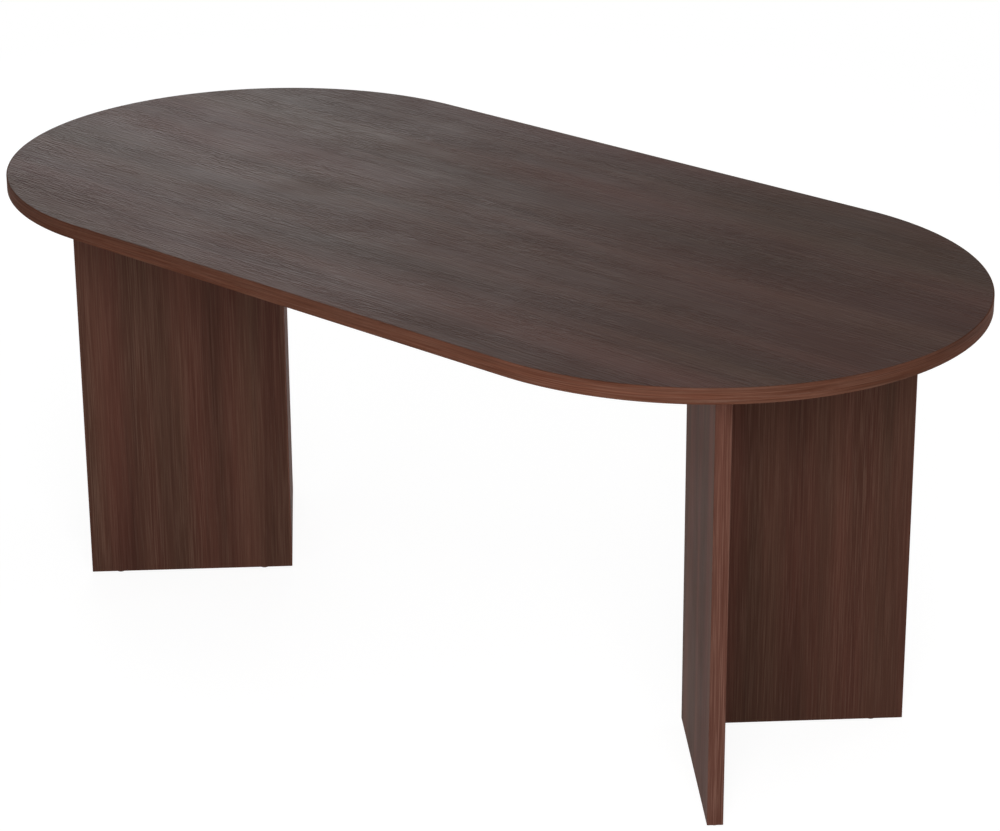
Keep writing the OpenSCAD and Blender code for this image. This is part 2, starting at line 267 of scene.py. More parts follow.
def arc(centre, radius, start, end, steps):
    """Points on an arc, as (x, y), from one angle to another in degrees."""
    angles = [math.radians(start + (end - start) * step / steps) for step in range(steps + 1)]
    return [(centre[0] + radius * math.cos(a), centre[1] + radius * math.sin(a)) for a in angles]


def drill(holes, place, width, sheet):
    """Adds a cylinder to a mesh of holes, along a place's Z axis, for a hole through a sheet this thick."""
    bmesh.ops.create_cone(holes, cap_ends=True, segments=HOLE_STEPS, radius1=width / 2, radius2=width / 2,
                          depth=HOLE_DEPTH * sheet, matrix=place)


def skinned(layers):
    """A closed bmesh from layers of corners: each layer is joined to the next, and both ends are filled."""
    mesh = bmesh.new()
    rings = [[mesh.verts.new(corner) for corner in layer] for layer in layers]
    for lower, upper in zip(rings, rings[1:]):
        for step, vertex in enumerate(lower):
            after = (step + 1) % len(lower)
            mesh.faces.new((vertex, lower[after], upper[after], upper[step]))
    mesh.faces.new(rings[0])
    mesh.faces.new(rings[-1])
    return mesh


def turned(outline, steps, shape=None):
    """A closed solid turned about Z from (radius, height) points that start and end on the axis.
    shape changes a radius, given the radius, the angle and the height."""
    mesh = bmesh.new()
    rings = []
    for radius, height in outline:
        if radius == 0:
            rings.append([mesh.verts.new((0, 0, height))])
            continue
        ring = []
        for step in range(steps):
            angle = 2 * math.pi * step / steps
            out = shape(radius, angle, height) if shape else radius
            ring.append(mesh.verts.new((out * math.cos(angle), out * math.sin(angle), height)))
        rings.append(ring)
    for lower, upper in zip(rings, rings[1:]):
        for step in range(steps):
            after = (step + 1) % steps
            around = [lower[step % len(lower)], lower[after % len(lower)],
                      upper[after % len(upper)], upper[step % len(upper)]]
            corners = list(dict.fromkeys(around))
            if len(corners) > 2:
                mesh.faces.new(corners)
    return to_mesh(mesh)


def racetrack(inset):
    """Outline of the top, as (x, y), anticlockwise from the left end of its straight back edge."""
    radius_x = top_half_length - top_half_straight - inset
    radius_y = top_half_width - inset
    half = top_half_straight

    def half_ring(side, start):
        """The points of one rounded end, from an angle in degrees."""
        ring = arc((0, 0), 1, start, start + 180, ARC_STEPS)
        return [(side * half + x * radius_x, y * radius_y) for x, y in ring]

    return half_ring(-1, 90) + half_ring(1, 270)


def racetrack_sheet(inset, low_z, high_z):
    """A flat sheet with the top's outline, its upper edge broken by a small bevel."""
    levels = [(inset, low_z), (inset, high_z - LAMINATE_BEVEL), (inset + LAMINATE_BEVEL, high_z)]
    return to_mesh(skinned([[(x, y, z) for x, y in racetrack(gap)] for gap, z in levels]))


def path_mesh(points):
    """A chain of edges for a geometry tree to follow."""
    data = bpy.data.meshes.new("path")
    data.from_pydata(points, [(step, step + 1) for step in range(len(points) - 1)], [])
    return data


# Node trees

def add_node(tree, kind, inputs=None, **settings):
    """Adds a node, makes its settings, and links or sets its inputs, named or numbered."""
    node = tree.nodes.new(kind)
    for key, value in settings.items():
        setattr(node, key, value)
    for key, value in (inputs or {}).items():
        if isinstance(value, bpy.types.NodeSocket):
            tree.links.new(value, node.inputs[key])
        else:
            node.inputs[key].default_value = value
    return node


def new_group(name, kind, inputs, outputs):
    """A node group with its sockets, each named with its type, or with the number that it has unless set."""
    group = bpy.data.node_groups.new(name, kind)
    for in_out, sockets in (("INPUT", inputs), ("OUTPUT", outputs)):
        for label, value in sockets.items():
            is_type = isinstance(value, str)
            socket_type = "NodeSocket" + (value if is_type else type(value).__name__.title())
            socket = group.interface.new_socket(label, in_out=in_out, socket_type=socket_type)
            if not is_type:
                socket.default_value = value
    source = group.nodes.new("NodeGroupInput").outputs
    sink = group.nodes.new("NodeGroupOutput").inputs
    return group, source, sink


def math_node(tree, operation, first, second=0.0, clamp=False):
    """A value worked out from two others."""
    return add_node(tree, "ShaderNodeMath", {0: first, 1: second}, operation=operation,
                    use_clamp=clamp).outputs[0]


def finish_tree(tree, shape, source, sink):
    """Ends a geometry tree: plain meshes with their finish set."""
    whole = add_node(tree, "GeometryNodeRealizeInstances", {0: shape}).outputs[0]
    finished = add_node(tree, "GeometryNodeSetMaterial", {"Geometry": whole, "Material": source["Finish"]})
    tree.links.new(finished.outputs[0], sink[0])


def band_tree():
    """A strip with its two outer long edges rounded, along a path at the middle of its inner face.
    UVMap runs along the strip and round its section, in metres."""
    tree, source, sink = new_group("edge_band", "GeometryNodeTree", {
        "Path": "Geometry", "Thickness": 0.002, "Width": 0.025, "Rounding": BAND_ROUNDING,
        "Rounding steps": ROUNDING_STEPS, "Finish": "Material",
    }, {"Strip": "Geometry"})
    section = add_node(tree, "GeometryNodeCurvePrimitiveQuadrilateral",
                       {"Width": source["Thickness"], "Height": source["Width"]}, mode="RECTANGLE")
    position = add_node(tree, "GeometryNodeInputPosition").outputs[0]
    across = add_node(tree, "ShaderNodeSeparateXYZ", {0: position}).outputs["X"]
    outer = math_node(tree, "GREATER_THAN", across, 0.0)
    radius = math_node(tree, "MULTIPLY", outer, source["Rounding"])
    rounded = add_node(tree, "GeometryNodeFilletCurve",
                       {"Curve": section.outputs[0], "Radius": radius, "Count": source["Rounding steps"]},
                       mode="POLY")
    half = math_node(tree, "MULTIPLY", source["Thickness"], 0.5)
    shift = add_node(tree, "ShaderNodeCombineXYZ", {"X": half}).outputs[0]
    moved = add_node(tree, "GeometryNodeSetPosition", {"Geometry": rounded.outputs[0], "Offset": shift})
    path = add_node(tree, "GeometryNodeMeshToCurve", {0: source["Path"]})
    upright = add_node(tree, "GeometryNodeSetCurveNormal", {0: path.outputs[0]}, mode="Z_UP")
    lengths = []
    curves = []
    for curve in (upright.outputs[0], moved.outputs[0]):
        length = add_node(tree, "GeometryNodeSplineParameter").outputs["Length"]
        kept = tree.nodes.new("GeometryNodeCaptureAttribute")
        kept.capture_items.new("FLOAT", "Length")
        tree.links.new(curve, kept.inputs[0])
        tree.links.new(length, kept.inputs[1])
        curves.append(kept.outputs[0])
        lengths.append(kept.outputs[1])
    swept = add_node(tree, "GeometryNodeCurveToMesh",
                     {"Curve": curves[0], "Profile Curve": curves[1], "Fill Caps": True})
    place = add_node(tree, "ShaderNodeCombineXYZ", {"X": lengths[0], "Y": lengths[1]}).outputs[0]
    stored = add_node(tree, "GeometryNodeStoreNamedAttribute",
                      {"Geometry": swept.outputs[0], "Name": "UVMap", "Value": place},
                      data_type="FLOAT2", domain="CORNER")
    finish_tree(tree, stored.outputs[0], source, sink)
    return tree


def seating_tree():
    """Copies of one piece on points, each turned so that its Z axis follows the point's direction, and
    turned about that axis at random. A Random Value node's sockets 2 and 3 are its range of numbers, and
    its output 1 the number."""
    tree, source, sink = new_group("seated_pieces", "GeometryNodeTree", {
        "Points": "Geometry", "Piece": "Object", "Turn": 0.0, "Seed": 1, "Finish": "Material",
    }, {"Pieces": "Geometry"})
    direction = add_node(tree, "GeometryNodeInputNamedAttribute", {"Name": "direction"},
                         data_type="FLOAT_VECTOR").outputs[0]
    aligned = add_node(tree, "FunctionNodeAlignRotationToVector", {"Vector": direction},
                       axis="Z").outputs[0]
    angle = add_node(tree, "FunctionNodeRandomValue", {2: 0.0, 3: source["Turn"], "Seed": source["Seed"]},
                     data_type="FLOAT").outputs[1]
    about = add_node(tree, "ShaderNodeCombineXYZ", {"Z": angle}).outputs[0]
    spin = add_node(tree, "FunctionNodeEulerToRotation", {0: about}).outputs[0]
    turn = add_node(tree, "FunctionNodeRotateRotation", {"Rotation": aligned, "Rotate By": spin},
                    rotation_space="LOCAL").outputs[0]
    info = add_node(tree, "GeometryNodeObjectInfo", {"Object": source["Piece"]})
    spots = add_node(tree, "GeometryNodeMeshToPoints", {0: source["Points"]})
    copies = add_node(tree, "GeometryNodeInstanceOnPoints",
                      {"Points": spots.outputs[0], "Instance": info.outputs["Geometry"], "Rotation": turn})
    finish_tree(tree, copies.outputs[0], source, sink)
    return tree


band_maker = band_tree()
seat_maker = seating_tree()


def band_mesh(path, thickness, width, finish):
    """An edge band along a path at the middle of its inner face."""
    return grown(band_maker, path_mesh(path), thickness=thickness, width=width,
                 rounding=BAND_ROUNDING, rounding_steps=ROUNDING_STEPS, finish=finish)


def seated(data, places, matrix, finish, turn=0.0, seed=1):
    """Copies of a mesh at (point, direction) places, which matrix takes to the table's frame."""
    points = bpy.data.meshes.new("points")
    points.from_pydata([matrix @ point for point, _ in places], [], [])
    directions = points.attributes.new("direction", "FLOAT_VECTOR", "POINT")
    turned_directions = [matrix.to_3x3() @ direction for _, direction in places]
    directions.data.foreach_set("vector", [value for item in turned_directions for value in item])
    model = new_object("model", data)
    result = grown(seat_maker, points, piece=model, turn=turn, seed=seed, finish=finish)
    bpy.data.objects.remove(model)
    return result


# Finishes

def spread(tree, value, low, high, new_low=0.0, new_high=1.0):
    """Stretches a value's range, clamped at both ends. A noise keeps near 0.5, so its range is narrow."""
    return add_node(tree, "ShaderNodeMapRange", {"Value": value, "From Min": low, "From Max": high,
                                                 "To Min": new_low, "To Max": new_high}).outputs[0]


def blend(tree, share, first, second, how="MIX"):
    """Mixes two colours by a share. Sockets 6 and 7 are a Mix node's colours, and output 2 its result."""
    mixed = add_node(tree, "ShaderNodeMix", {0: share, 6: first, 7: second},
                     data_type="RGBA", blend_type=how)
    return mixed.outputs[2]


def two_tones(tree, value, dark, light):
    """A colour that goes from dark to light with a noise."""
    return blend(tree, spread(tree, value, 0.3, 0.7), (*dark, 1), (*light, 1))


def noise(tree, place, scale=1.0, detail=2.0, roughness=0.5):
    """A cloudy value near 0.5."""
    return add_node(tree, "ShaderNodeTexNoise", {"Vector": place, "Scale": scale, "Detail": detail,
                                                 "Roughness": roughness}).outputs["Fac"]


def stretched(tree, place, length, width):
    """Coordinates in which a pattern is this long along X and this wide across it."""
    size = add_node(tree, "ShaderNodeCombineXYZ", {"X": length, "Y": width, "Z": width})
    return add_node(tree, "ShaderNodeVectorMath", {0: place, 1: size.outputs[0]},
                    operation="DIVIDE").outputs[0]


# Sizes that every printed grain shares: lengths along the grain, widths across it, or both

SWAY_SIZE = (0.35, 0.09)
ZONE_LENGTH = 1.1
HUE_LENGTH = 0.8
LINE_WIDTH = 0.0055
CLEAR_PART_SIZE = (0.8, 0.06)
CLUSTER_SIZE = (0.30, 0.030)


def grain_group():
    """Straight printed walnut grain along X. Zones are broad tones and Hue is broad reddish and greenish
    parts, Lines are growth lines, Fibres fine streaks, clearer in some parts than in others, and Ticks
    short embossed dashes in streaky clusters. Fibres and Ticks go from about -0.5 to 0.5."""
    group, source, sink = new_group("straight_grain", "ShaderNodeTree", {
        "Place": "Vector", "Wander": 0.004, "Zone width": 0.07, "Hue width": 0.035, "Line length": 0.2,
        "Fibre length": 0.07, "Fibre width": 0.0013, "Tick length": 0.012, "Tick width": 0.003,
    }, dict.fromkeys(["Zones", "Hue", "Lines", "Fibres", "Ticks"], "Float"))

    def pattern(where, length, width, detail=1.0, roughness=0.5):
        """A noise that is this long along the grain and this wide across it."""
        return noise(group, stretched(group, where, length, width), detail=detail, roughness=roughness)

    sway = math_node(group, "SUBTRACT", pattern(source["Place"], *SWAY_SIZE), 0.5)
    sway = math_node(group, "MULTIPLY", sway, source["Wander"])
    shift = add_node(group, "ShaderNodeCombineXYZ", {"Y": sway, "Z": sway}).outputs[0]
    place = add_node(group, "ShaderNodeVectorMath", {0: source["Place"], 1: shift},
                     operation="ADD").outputs[0]

    zones = pattern(place, ZONE_LENGTH, source["Zone width"])
    hue = pattern(place, HUE_LENGTH, source["Hue width"])
    lines = pattern(place, source["Line length"], LINE_WIDTH, detail=3.0, roughness=0.6)
    fibres = pattern(place, source["Fibre length"], source["Fibre width"], detail=2.0, roughness=0.6)
    fibres = spread(group, fibres, 0.35, 0.65, -0.5, 0.5)
    clearness = spread(group, pattern(place, *CLEAR_PART_SIZE), 0.35, 0.65, 0.6, 1.4)
    ticks = pattern(place, source["Tick length"], source["Tick width"])
    ticks = spread(group, ticks, 0.34, 0.66, -0.5, 0.5)
    clusters = spread(group, pattern(place, *CLUSTER_SIZE, detail=2.0), 0.38, 0.64, 0.12)
    results = {
        "Zones": spread(group, zones, 0.32, 0.68),
        "Hue": spread(group, hue, 0.34, 0.66),
        "Lines": spread(group, lines, 0.34, 0.66),
        "Fibres": math_node(group, "MULTIPLY", fibres, clearness),
        "Ticks": math_node(group, "MULTIPLY", ticks, clusters),
    }
    for label, value in results.items():
        group.links.new(value, sink[label])
    return group


def smudge_group():
    """Faint uneven sheen, as of hands and wiping, from 0 to 1."""
    group, source, sink = new_group("faint_smudges", "ShaderNodeTree",
                                    {"Place": "Vector", "Size": 0.15}, {"Smudges": "Float"})
    scaled = add_node(group, "ShaderNodeVectorMath", {0: source["Place"], 1: source["Size"]},
                      operation="DIVIDE").outputs[0]
    group.links.new(spread(group, noise(group, scaled, detail=4.0, roughness=0.6), 0.3, 0.7), sink[0])
    return group


straight_grain = grain_group()
faint_smudges = smudge_group()


def smudges(tree, place, size=0.15):
    """The faint smudges, this far apart."""
    return add_node(tree, "ShaderNodeGroup", {"Place": place, "Size": size},
                    node_tree=faint_smudges).outputs[0]


def new_material(name, roughness, specular, metallic=0.0):
    """A material with a Principled shader, its node tree and the shader."""
    material = bpy.data.materials.new(name)
    material.use_nodes = True
    tree = material.node_tree
    shader = tree.nodes["Principled BSDF"]
    shader.inputs["Roughness"].default_value = roughness
    shader.inputs["Specular IOR Level"].default_value = specular
    shader.inputs["Metallic"].default_value = metallic
    return material, tree, shader


def feed(tree, shader, **values):
    """Links values to a shader's inputs. Each input's name has _ for its spaces."""
    for key, value in values.items():
        tree.links.new(value, shader.inputs[key.replace("_", " ").title()])


def relief(tree, height, depth, strength=1.0, invert=False):
    """The normals of a surface whose relief is this deep for a height of 1."""
    bump = add_node(tree, "ShaderNodeBump", {"Strength": strength, "Distance": depth, "Height": height},
                    invert=invert)
    return bump.outputs[0]


def object_place(tree):
    """The table's own coordinates."""
    return add_node(tree, "ShaderNodeTexCoord").outputs["Object"]


def grain_place(tree, follow):
    """Coordinates with the grain along X: the table's length, the upright, or along a band."""
    if follow == "band":
        return add_node(tree, "ShaderNodeUVMap", uv_map="UVMap").outputs[0]
    place = object_place(tree)
    if follow == "upright":
        parts = add_node(tree, "ShaderNodeSeparateXYZ", {0: place}).outputs
        place = add_node(tree, "ShaderNodeCombineXYZ",
                         {"X": parts["Z"], "Y": parts["X"], "Z": parts["Y"]}).outputs[0]
    return place


# How much smudges change a print's roughness, and how high its fibres stand beside its ticks

SMUDGED = 0.04
FIBRE_RELIEF = 0.3


def wood_print(name, follow, tones, weights, sheen, depth, cut, **grain_sizes):
    """A printed walnut finish. tones are its dark and light colours, the cast of its greenish parts, and
    the colours of its pale and deep streaks. The pale streaks are the print's light fibres, and where the
    ticks go pale they are painted highlight: glints of sheen on the embossed dashes. weights say how much
    the zones and lines change the tone, and how much the fibres and ticks draw streaks. sheen is roughness
    and specular level, and depth that of the relief. cut is where on the endless print the piece is taken.
    grain_sizes are inputs of the grain group, with _ for their spaces."""
    material, tree, shader = new_material(name, *sheen)
    place = add_node(tree, "ShaderNodeMapping", {"Vector": grain_place(tree, follow), "Location": cut},
                     vector_type="POINT").outputs[0]
    grain = add_node(tree, "ShaderNodeGroup", {"Place": place}, node_tree=straight_grain)
    for key, value in grain_sizes.items():
        grain.inputs[key.capitalize().replace("_", " ")].default_value = value

    tone = 0.5
    for part in ("Zones", "Lines"):
        change = math_node(tree, "SUBTRACT", grain.outputs[part], 0.5)
        change = math_node(tree, "MULTIPLY", change, weights[part])
        tone = math_node(tree, "ADD", tone, change, clamp=True)
    colour = blend(tree, tone, (*tones["dark"], 1), (*tones["light"], 1))
    colour = blend(tree, grain.outputs["Hue"], colour, (*tones["cast"], 1), "MULTIPLY")

    streaks = 0.0
    for part in ("Fibres", "Ticks"):
        streak = math_node(tree, "MULTIPLY", grain.outputs[part], weights[part])
        streaks = math_node(tree, "ADD", streaks, streak)
    # Where the ticks go pale, the pale tone is painted highlight: glints of sheen on the embossed dashes
    for key, sign in (("pale", 1.0), ("deep", -1.0)):
        share = math_node(tree, "MAXIMUM", math_node(tree, "MULTIPLY", streaks, sign), 0.0)
        colour = blend(tree, share, colour, (*tones[key], 1))

    height = math_node(tree, "MULTIPLY", grain.outputs["Fibres"], FIBRE_RELIEF)
    height = math_node(tree, "ADD", height, grain.outputs["Ticks"])
    feed(tree, shader,
         base_color=colour,
         roughness=spread(tree, smudges(tree, place), 0, 1, sheen[0] - SMUDGED, sheen[0] + SMUDGED),
         normal=relief(tree, height, depth))
    return material


def plain_laminate():
    """The brown sheet under the top, pebbled and unprinted."""
    material, tree, shader = new_material("brown_backing_sheet", 0.6, 0.25)
    place = object_place(tree)
    cloud = noise(tree, place, scale=9.0, detail=4.0)
    pebbles = noise(tree, place, scale=1400.0, detail=1.0)
    feed(tree, shader,
         base_color=two_tones(tree, cloud, (0.045, 0.027, 0.020), (0.060, 0.036, 0.026)),
         roughness=spread(tree, pebbles, 0.3, 0.7, 0.5, 0.68),
         normal=relief(tree, pebbles, 0.0001, 0.25))
    return material


def pressed_chips():
    """Raw particle board: pressed chips of several tones with dark gaps between them."""
    material, tree, shader = new_material("pressed_chips", 0.85, 0.2)
    cells = add_node(tree, "ShaderNodeTexVoronoi",
                     {"Vector": object_place(tree), "Scale": 420.0, "Randomness": 1.0})
    shade = add_node(tree, "ShaderNodeSeparateColor", {0: cells.outputs["Color"]}).outputs[0]
    chips = blend(tree, shade, (0.28, 0.17, 0.09, 1), (0.58, 0.42, 0.25, 1))
    gaps = spread(tree, cells.outputs["Distance"], 0.35, 0.6)
    darkened = math_node(tree, "MULTIPLY", gaps, 0.6)
    feed(tree, shader,
         base_color=blend(tree, darkened, chips, (0.14, 0.08, 0.04, 1)),
         normal=relief(tree, gaps, 0.0003, 0.6, invert=True))
    return material


def raw_beech():
    """Beech dowels, with the short dark flecks that beech has."""
    material, tree, shader = new_material("raw_beech", 0.65, 0.3)
    place = object_place(tree)
    fibres = noise(tree, stretched(tree, place, 0.02, 0.0006), detail=3.0)
    wood = two_tones(tree, fibres, (0.52, 0.33, 0.17), (0.68, 0.48, 0.28))
    flecks = spread(tree, noise(tree, stretched(tree, place, 0.002, 0.0004), detail=0.0), 0.66, 0.72)
    feed(tree, shader,
         base_color=blend(tree, flecks, wood, (0.33, 0.18, 0.09, 1)),
         normal=relief(tree, fibres, 0.0001, 0.3))
    return material


def powder_coat():
    """Black powder coat with a fine orange peel."""
    material, tree, shader = new_material("black_powder_coat", 0.5, 0.4)
    place = object_place(tree)
    peel = noise(tree, place, scale=1600.0)
    feed(tree, shader,
         base_color=two_tones(tree, peel, (0.011, 0.011, 0.012), (0.018, 0.018, 0.019)),
         roughness=spread(tree, smudges(tree, place, 0.03), 0, 1, 0.42, 0.58),
         normal=relief(tree, peel, 0.0001, 0.4))
    return material


def dull_metal(name, dark, light, low_rough, high_rough, scratch):
    """Cast or plated metal, with cloudy tone and fine scratches."""
    material, tree, shader = new_material(name, low_rough, 0.5, metallic=1.0)
    place = object_place(tree)
    cloud = noise(tree, place, scale=220.0, detail=4.0)
    scratches = noise(tree, stretched(tree, place, 0.006, 0.00025))
    rough = math_node(tree, "ADD", cloud, math_node(tree, "MULTIPLY", scratches, scratch))
    feed(tree, shader,
         base_color=two_tones(tree, cloud, dark, light),
         roughness=spread(tree, rough, 0.3, 0.9, low_rough, high_rough),
         normal=relief(tree, rough, 0.00005, 0.25))
    return material


def moulded_plastic():
    """Dark brown plastic, finely textured by its mould."""
    material, tree, shader = new_material("brown_moulded_plastic", 0.55, 0.35)
    place = object_place(tree)
    texture = noise(tree, place, scale=2500.0, detail=1.0)
    cloud = noise(tree, place, scale=60.0, detail=3.0)
    feed(tree, shader,
         base_color=two_tones(tree, cloud, (0.018, 0.011, 0.009), (0.028, 0.018, 0.014)),
         roughness=spread(tree, texture, 0.3, 0.7, 0.45, 0.65),
         normal=relief(tree, texture, 0.00005, 0.3))
    return material


# Each pale tone colours the light fibres, and on the pale ticks it is painted highlight: glints of sheen,
# greyest on the top
top_tones = dict(dark=(0.036, 0.0144, 0.0109), light=(0.122, 0.0528, 0.0398), cast=(0.81, 1.04, 0.96),
                 pale=(0.210, 0.136, 0.112), deep=(0.032, 0.0085, 0.0055))
panel_tones = dict(dark=(0.040, 0.0153, 0.0111), light=(0.144, 0.0560, 0.0391), cast=(0.82, 1.00, 0.96),
                   pale=(0.218, 0.127, 0.092), deep=(0.034, 0.0064, 0.0034))
top_band_tones = dict(dark=(0.0553, 0.0192, 0.0108), light=(0.178, 0.0693, 0.0432),
                      cast=(0.92, 1.00, 1.02), pale=(0.242, 0.142, 0.108), deep=(0.0485, 0.0085, 0.0038))
panel_band_tones = dict(dark=(0.0609, 0.0229, 0.0149), light=(0.195, 0.0845, 0.0620),
                        cast=(0.92, 1.00, 1.02), pale=(0.263, 0.140, 0.106), deep=(0.0525, 0.0130, 0.0080))

top_walnut = wood_print(
    "walnut_top", "length", top_tones, dict(Zones=0.35, Lines=0.15, Fibres=0.20, Ticks=0.14),
    sheen=(0.50, 0.030), depth=0.00095, cut=(0, 0, 0), line_length=0.16, hue_width=0.20,
    fibre_length=0.14, fibre_width=0.0045, tick_length=0.021, tick_width=0.0028)
panel_walnut = wood_print(
    "walnut_panel", "upright", panel_tones, dict(Zones=0.45, Lines=0.20, Fibres=0.38, Ticks=0.06),
    sheen=(0.66, 0.052), depth=0.00005, cut=(4.2, 2.2, 4.9), hue_width=0.05,
    fibre_length=0.12, fibre_width=0.0018, tick_width=0.0012)
top_band_walnut = wood_print(
    "walnut_top_band", "band", top_band_tones, dict(Zones=0.15, Lines=0.40, Fibres=0.50, Ticks=0.15),
    sheen=(0.60, 0.008), depth=0.00005, cut=(2.1, 8.1, 0.0), wander=0.001, line_length=0.16,
    fibre_length=0.12, fibre_width=0.0018, tick_width=0.0012)
panel_band_walnut = wood_print(
    "walnut_panel_band", "upright", panel_band_tones, dict(Zones=0.15, Lines=0.22, Fibres=0.75, Ticks=0.06),
    sheen=(0.65, 0.008), depth=0.00005, cut=(0, 0, 0), wander=0.001,
    fibre_length=0.12, fibre_width=0.0022, tick_width=0.0012)
backing_sheet = plain_laminate()
particle_board = pressed_chips()
beech = raw_beech()
black_steel = powder_coat()
cast_zinc = dull_metal("cast_zinc", (0.34, 0.35, 0.36), (0.50, 0.51, 0.53), 0.38, 0.6, 0.3)
plated_steel = dull_metal("plated_steel", (0.42, 0.42, 0.41), (0.60, 0.60, 0.58), 0.25, 0.45, 0.6)
brown_plastic = moulded_plastic()


# The top

def make_top():
    """The two laminates and the band between them. The core keeps its CAD mesh."""
    upper = racetrack_sheet(top_band, upper_low.z, upper_high.z)
    add_piece("upper_laminate", upper, top_walnut, "tabletop_upper_laminate")

    path = racetrack(top_band)
    middle = 0.5 * (top_low.z + top_high.z)
    back_y = path[0][1]
    path = [(-BAND_SEAM / 2, back_y)] + path + [(BAND_SEAM / 2, back_y)]
    path = [(x, y, middle) for x, y in path]
    band = band_mesh(path, top_band, top_thickness, top_band_walnut)
    add_piece("round_band", band, top_band_walnut, "tabletop_edge_band")

    # The lower sheet is upside down, so that its bevel is at its lower edge
    under = racetrack_sheet(top_band, under_low.z, under_high.z)
    flip = Matrix.Translation((0, 0, under_low.z + under_high.z)) @ Matrix.Diagonal((1, 1, -1, 1))
    under = shaped(placed(under, flip), under_holes())
    add_piece("under_laminate", under, backing_sheet, "tabletop_under_laminate")


def is_upright(box):
    """Whether a solid's box is taller than it is wide."""
    size = box[1] - box[0]
    return size.z > max(size.x, size.y)


def under_holes():
    """Cylinders through the sheet under the top, where the dowels and the screws go up into the core."""
    holes = bmesh.new()
    for side in SIDES:
        matrix = arm_matrix(side, "front")
        for node, width in ((f"{side}_top_dowels", None), (f"{side}_bracket_screws", SCREW_SHANK)):
            for low, high in solids(side, node):
                if not is_upright((low, high)):
                    continue
                centre = matrix @ ((low + high) / 2)
                place = Matrix.Translation((centre.x, centre.y, under_low.z))
                drill(holes, place, width or high.x - low.x, under_high.z - under_low.z)
    return to_mesh(holes)


# The legs' bands

def make_panel_bands(side):
    """The upright bands on the panels' ends and at the leg's corner."""
    for arm, ends in (("front", ["end", "corner"]), ("back", ["end"])):
        matrix = arm_matrix(side, arm)
        for end in ends:
            node = f"{side}_{arm}_panel_{end}_band"
            low, high = arm_box(side, arm, node)
            thickness = high.x - low.x
            inner_x = low.x if end == "end" else high.x
            middle = (low.y + high.y) / 2
            path = [(0, 0, low.z), (0, 0, high.z)]
            band = band_mesh(path, thickness, high.y - low.y, panel_band_walnut)
            turn = Matrix.Diagonal((1 if end == "end" else -1, 1, 1, 1))
            band = placed(band, matrix @ Matrix.Translation((inner_x, middle, 0)) @ turn)
            add_piece(f"{side}_{arm}_{end}_band", band, panel_band_walnut, node)


# The brackets and their screws

def bracket_model(leg, thickness, width):
    """A steel angle with its outer corner on the X axis: one plate hangs down, the other runs along Y."""
    outer = BRACKET_BEND + thickness
    centre = (outer, -outer)
    section = [(0, -leg)] + arc(centre, outer, 180, 90, BRACKET_STEPS) + [(leg, 0), (leg, -thickness)]
    section += arc(centre, BRACKET_BEND, 90, 180, BRACKET_STEPS) + [(thickness, -leg)]
    mesh = skinned([[(x, y, z) for y, z in section] for x in (-width / 2, width / 2)])

    def is_free_corner(edge):
        """Whether an edge is at a corner of the free end of one of the plates."""
        at_end = (all(abs(vertex.co.y - leg) < TOUCHING for vertex in edge.verts)
                  or all(abs(vertex.co.z + leg) < TOUCHING for vertex in edge.verts))
        return at_end and edge.calc_length() < 2 * thickness

    corners = [edge for edge in mesh.edges if is_free_corner(edge)]
    bmesh.ops.bevel(mesh, geom=corners, offset=BRACKET_CORNER, segments=BRACKET_STEPS, profile=0.5,
                    affect="EDGES")
    hole_reach = (leg + outer) / 2
    hole_side = width / 2 - BRACKET_HOLE_MARGIN
    holes = bmesh.new()
    for x in (-hole_side, hole_side):
        upright = Matrix.Translation((x, hole_reach, 0))
        level = Matrix.Translation((x, 0, -hole_reach)) @ Matrix.Rotation(math.pi / 2, 4, "X")
        for place in (upright, level):
            drill(holes, place, BRACKET_HOLE, thickness)
    return shaped(to_mesh(mesh), to_mesh(holes), STEEL_BEVEL)


def steel_thickness(side, arm, node):
    """Thickness of the plate that hangs down, read at the bracket's lower end."""
    to_arm = arm_matrix(side, arm).inverted()
    points = [to_arm @ point for point in node_points(node)]
    lowest = min(point.z for point in points)
    ends = [point.y for point in points if point.z < lowest + NEAR]
    return max(ends) - min(ends)


def first_bracket():
    """The bracket that all the others are copies of, with the sizes of the first one in the frame."""
    node = "right_front_inner_bracket"
    low, high = arm_box("right", "front", node)
    return bracket_model(high.y - low.y, steel_thickness("right", "front", node), high.x - low.x)


def thread(radius, angle, height):
    """Cuts a screw's thread into its shank. The head, the first turn below it and the tip stay plain. The
    thread's crest is in the middle of each turn, and its flanks fall to a narrow flat root, by THREAD_FLANK
    times the thread's depth in a turn."""
    on_shank = abs(radius - SCREW_SHANK / 2) < TOUCHING
    if height > -SCREW_PITCH or not on_shank:
        return radius
    turn = (height / SCREW_PITCH - angle / (2 * math.pi)) % 1
    return radius - THREAD_DEPTH * min(1, THREAD_FLANK * abs(turn - 0.5))


def cross_recess():
    """A cross for a screwdriver that narrows from its mouth, a little above the crown, to its foot."""
    half = RECESS_WIDTH / 2
    turns = [Matrix.Rotation(math.radians(90 * quarter), 3, "Z") for quarter in range(4)]
    layers = []
    for z, reach in ((-RECESS_DEPTH, RECESS_FOOT), (RECESS_RISE, RECESS_MOUTH)):
        arm = [Vector((reach, -half, z)), Vector((reach, half, z)), Vector((half, half, z))]
        layers.append([turn @ corner for turn in turns for corner in arm])
    return to_mesh(skinned(layers))


